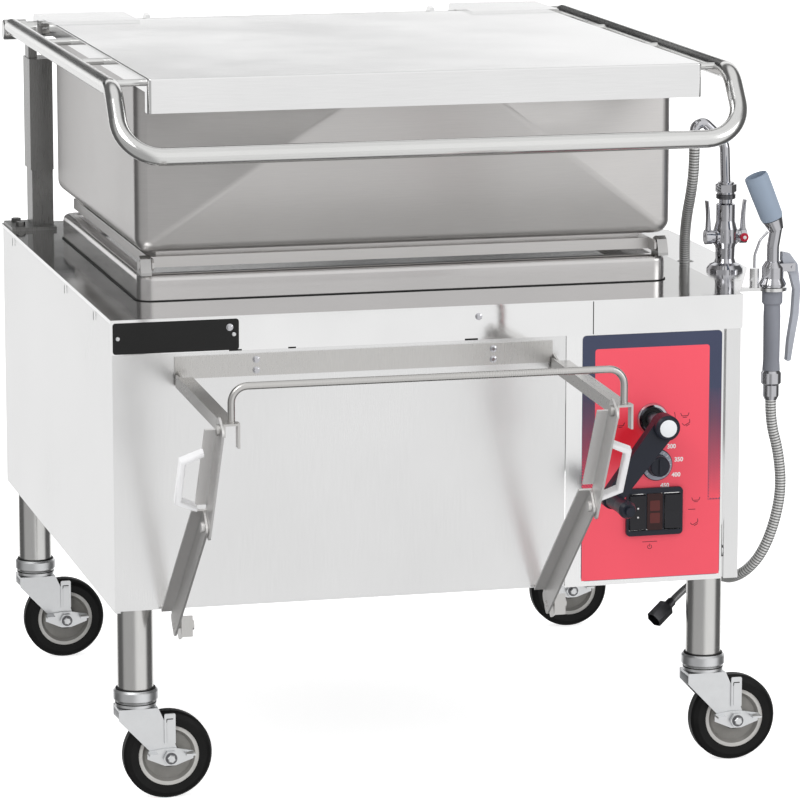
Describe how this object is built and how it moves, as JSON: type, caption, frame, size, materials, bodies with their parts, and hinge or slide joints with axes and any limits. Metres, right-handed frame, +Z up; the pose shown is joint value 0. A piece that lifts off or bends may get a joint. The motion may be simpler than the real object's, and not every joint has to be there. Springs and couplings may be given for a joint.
{
  "type": "tilting bratt pan",
  "caption": "Mobile tilting bratt pan: deep rectangular pan with a pouring lip and hinged lid on a cabinet with casters, hand crank tilt, folding pan support, faucet and spray hose.",
  "frame": {"origin": "bottom centre of the bounding box without the hoses, on the floor", "axes": "+X to the right seen from the front, +Y from front to back, +Z up"},
  "size_m": [1.0402, 1.2729, 1.027],
  "materials": {
    "stainless": "satin",
    "pan_steel": "matt",
    "polished_steel": "polished",
    "support_steel": "satin",
    "grip_white": "satin",
    "overlay": "satin",
    "black_plastic": "satin",
    "rocker_plastic": "gloss",
    "red_lens": "gloss",
    "chrome": "polished",
    "lever_steel": "satin",
    "bumper": "matt",
    "grip_grey": "matt",
    "hose": "satin",
    "braid": "braided",
    "brass": "satin",
    "gear_steel": "ground",
    "cast": "as cast",
    "heater": "satin",
    "zinc": "bright zinc",
    "tyre": "matt"
  },
  "bodies": {
    "cabinet": {"cabinet_deck": "stainless", "pan_collar": "stainless", "cabinet_panels": "stainless", "front_panel": "stainless", "control_column": "stainless", "control_overlay": "overlay", "base_frame": "stainless", "legs": "stainless", "hinge_posts": "stainless", "panel_screws": "polished_steel", "tilt_bearings": "polished_steel", "crank_bezel": "chrome", "switch_bezel": "black_plastic", "heat_lens": "red_lens", "gearbox_housing": "cast", "shelf_back_plate": "support_steel", "brace_brackets": "stainless", "faucet_bracket": "stainless", "faucet_body": "chrome", "riser_tube": "chrome", "spray_valve": "chrome", "spray_head": "bumper", "spray_grip": "grip_grey", "spray_hose": "hose", "supply_hose": "braid", "supply_nut": "brass"},
    "pan": {"pan_shell": "pan_steel", "pan_frame": "pan_steel", "heater_blocks": "heater", "lid_hinge_brackets": "stainless"},
    "lid": {"lid_shell": "stainless", "lid_hinge_arms": "stainless", "hinge_shaft": "polished_steel", "handle_rail": "polished_steel"},
    "crank": {"crank_handle": "black_plastic", "worm_shaft": "gear_steel"},
    "crank_grip": {"crank_grip": "black_plastic"},
    "worm_wheel": {"worm_wheel": "brass"},
    "thermostat_knob": {"thermostat_knob": "black_plastic"},
    "power_rocker": {"power_rocker": "rocker_plastic"},
    "tilt_rocker": {"tilt_rocker": "rocker_plastic"},
    "hot_lever": {"hot_lever": "chrome"},
    "cold_lever": {"cold_lever": "chrome"},
    "spray_lever": {"spray_lever": "lever_steel"},
    "shelf": {"shelf_frame": "support_steel"},
    "upper_brace": {"upper_braces": "support_steel", "brace_grips": "grip_white"},
    "lower_brace": {"lower_braces": "support_steel"},
    "fork_front_left": {"fork_front_left": "zinc"},
    "wheel_front_left": {"wheel_front_left": "tyre"},
    "pedal_front_left": {"brake_pedal_front_left": "zinc"},
    "fork_front_right": {"fork_front_right": "zinc"},
    "wheel_front_right": {"wheel_front_right": "tyre"},
    "pedal_front_right": {"brake_pedal_front_right": "zinc"},
    "fork_rear_left": {"fork_rear_left": "zinc"},
    "wheel_rear_left": {"wheel_rear_left": "tyre"},
    "pedal_rear_left": {"brake_pedal_rear_left": "zinc"},
    "fork_rear_right": {"fork_rear_right": "zinc"},
    "wheel_rear_right": {"wheel_rear_right": "tyre"},
    "pedal_rear_right": {"brake_pedal_rear_right": "zinc"}
  },
  "joints": [
    {"name": "pan_tilt", "type": "hinge", "parent": "cabinet", "child": "pan", "pos_m": [-0.0602, -0.1511, 0.746], "axis": [1, 0, 0], "range_deg": [0, 69]},
    {"name": "lid_open", "type": "hinge", "parent": "pan", "child": "lid", "pos_m": [-0.0602, 0.5919, 1.004], "axis": [-1, 0, 0], "range_deg": [0, 85]},
    {"name": "crank_turn", "type": "hinge", "parent": "cabinet", "child": "crank", "pos_m": [0.2638, -0.3466, 0.52], "axis": [0, 1, 0], "range_deg": [0, 1110]},
    {"name": "crank_grip_spin", "type": "hinge", "parent": "crank", "child": "crank_grip", "pos_m": [0.18561, -0.4031, 0.41992], "axis": [0, 1, 0], "continuous": true},
    {"name": "worm_wheel_turn", "type": "hinge", "parent": "cabinet", "child": "worm_wheel", "pos_m": [0.2638, -0.2456, 0.471], "axis": [1, 0, 0], "range_deg": [0, 46.5]},
    {"name": "thermostat_turn", "type": "hinge", "parent": "cabinet", "child": "thermostat_knob", "pos_m": [0.2708, -0.3014, 0.453], "axis": [0, 1, 0], "range_deg": [0, 300]},
    {"name": "power_rock", "type": "hinge", "parent": "cabinet", "child": "power_rocker", "pos_m": [0.2413, -0.3034, 0.3855], "axis": [1, 0, 0], "range_deg": [-6, 6]},
    {"name": "tilt_rock", "type": "hinge", "parent": "cabinet", "child": "tilt_rocker", "pos_m": [0.2933, -0.3034, 0.3855], "axis": [1, 0, 0], "range_deg": [-6, 6], "stiffness_Nm_per_rad": 0.6},
    {"name": "hot_turn", "type": "hinge", "parent": "cabinet", "child": "hot_lever", "pos_m": [0.4648, -0.0901, 0.7446], "axis": [1, 0, 0], "range_deg": [0, 90]},
    {"name": "cold_turn", "type": "hinge", "parent": "cabinet", "child": "cold_lever", "pos_m": [0.4148, -0.0901, 0.7446], "axis": [1, 0, 0], "range_deg": [0, 90]},
    {"name": "spray_squeeze", "type": "hinge", "parent": "cabinet", "child": "spray_lever", "pos_m": [0.5088, -0.1831, 0.712], "axis": [0, 1, 0], "range_deg": [0, 3.4], "stiffness_Nm_per_rad": 4, "springref_deg": -2.86},
    {"name": "shelf_fold", "type": "hinge", "parent": "cabinet", "child": "shelf", "pos_m": [-0.0602, -0.3171, 0.607], "axis": [1, 0, 0], "range_deg": [0, 70]},
    {"name": "upper_brace_swing", "type": "hinge", "parent": "shelf", "child": "upper_brace", "pos_m": [-0.0602, -0.6171, 0.598], "axis": [1, 0, 0], "range_deg": [0, 53]},
    {"name": "lower_brace_swing", "type": "hinge", "parent": "upper_brace", "child": "lower_brace", "pos_m": [-0.0602, -0.5301, 0.449], "axis": [1, 0, 0], "range_deg": [-184.6, 0]},
    {"name": "swivel_front_left", "type": "hinge", "parent": "cabinet", "child": "fork_front_left", "pos_m": [-0.4794, -0.2556, 0.14], "axis": [0, 0, 1], "continuous": true},
    {"name": "roll_front_left", "type": "hinge", "parent": "fork_front_left", "child": "wheel_front_left", "pos_m": [-0.4354, -0.2556, 0.0635], "axis": [0, 1, 0], "continuous": true},
    {"name": "brake_front_left", "type": "hinge", "parent": "fork_front_left", "child": "pedal_front_left", "pos_m": [-0.4354, -0.2556, 0.0635], "axis": [0, 1, 0], "range_deg": [-12, 12]},
    {"name": "swivel_front_right", "type": "hinge", "parent": "cabinet", "child": "fork_front_right", "pos_m": [0.359, -0.2556, 0.14], "axis": [0, 0, 1], "continuous": true},
    {"name": "roll_front_right", "type": "hinge", "parent": "fork_front_right", "child": "wheel_front_right", "pos_m": [0.403, -0.2556, 0.0635], "axis": [0, 1, 0], "continuous": true},
    {"name": "brake_front_right", "type": "hinge", "parent": "fork_front_right", "child": "pedal_front_right", "pos_m": [0.403, -0.2556, 0.0635], "axis": [0, 1, 0], "range_deg": [-12, 12]},
    {"name": "swivel_rear_left", "type": "hinge", "parent": "cabinet", "child": "fork_rear_left", "pos_m": [-0.4794, 0.5904, 0.14], "axis": [0, 0, 1], "continuous": true},
    {"name": "roll_rear_left", "type": "hinge", "parent": "fork_rear_left", "child": "wheel_rear_left", "pos_m": [-0.4354, 0.5904, 0.0635], "axis": [0, 1, 0], "continuous": true},
    {"name": "brake_rear_left", "type": "hinge", "parent": "fork_rear_left", "child": "pedal_rear_left", "pos_m": [-0.4354, 0.5904, 0.0635], "axis": [0, 1, 0], "range_deg": [-12, 12]},
    {"name": "swivel_rear_right", "type": "hinge", "parent": "cabinet", "child": "fork_rear_right", "pos_m": [0.359, 0.5904, 0.14], "axis": [0, 0, 1], "continuous": true},
    {"name": "roll_rear_right", "type": "hinge", "parent": "fork_rear_right", "child": "wheel_rear_right", "pos_m": [0.403, 0.5904, 0.0635], "axis": [0, 1, 0], "continuous": true},
    {"name": "brake_rear_right", "type": "hinge", "parent": "fork_rear_right", "child": "pedal_rear_right", "pos_m": [0.403, 0.5904, 0.0635], "axis": [0, 1, 0], "range_deg": [-12, 12]}
  ],
  "couplings": [
    {"joint": "crank_turn", "follows": "pan_tilt", "ratio": 16},
    {"joint": "worm_wheel_turn", "follows": "pan_tilt", "ratio": 0.6667},
    {"joint": "upper_brace_swing", "follows": "shelf_fold", "ratio": 0.756},
    {"joint": "lower_brace_swing", "follows": "shelf_fold", "ratio": -2.636}
  ]
}
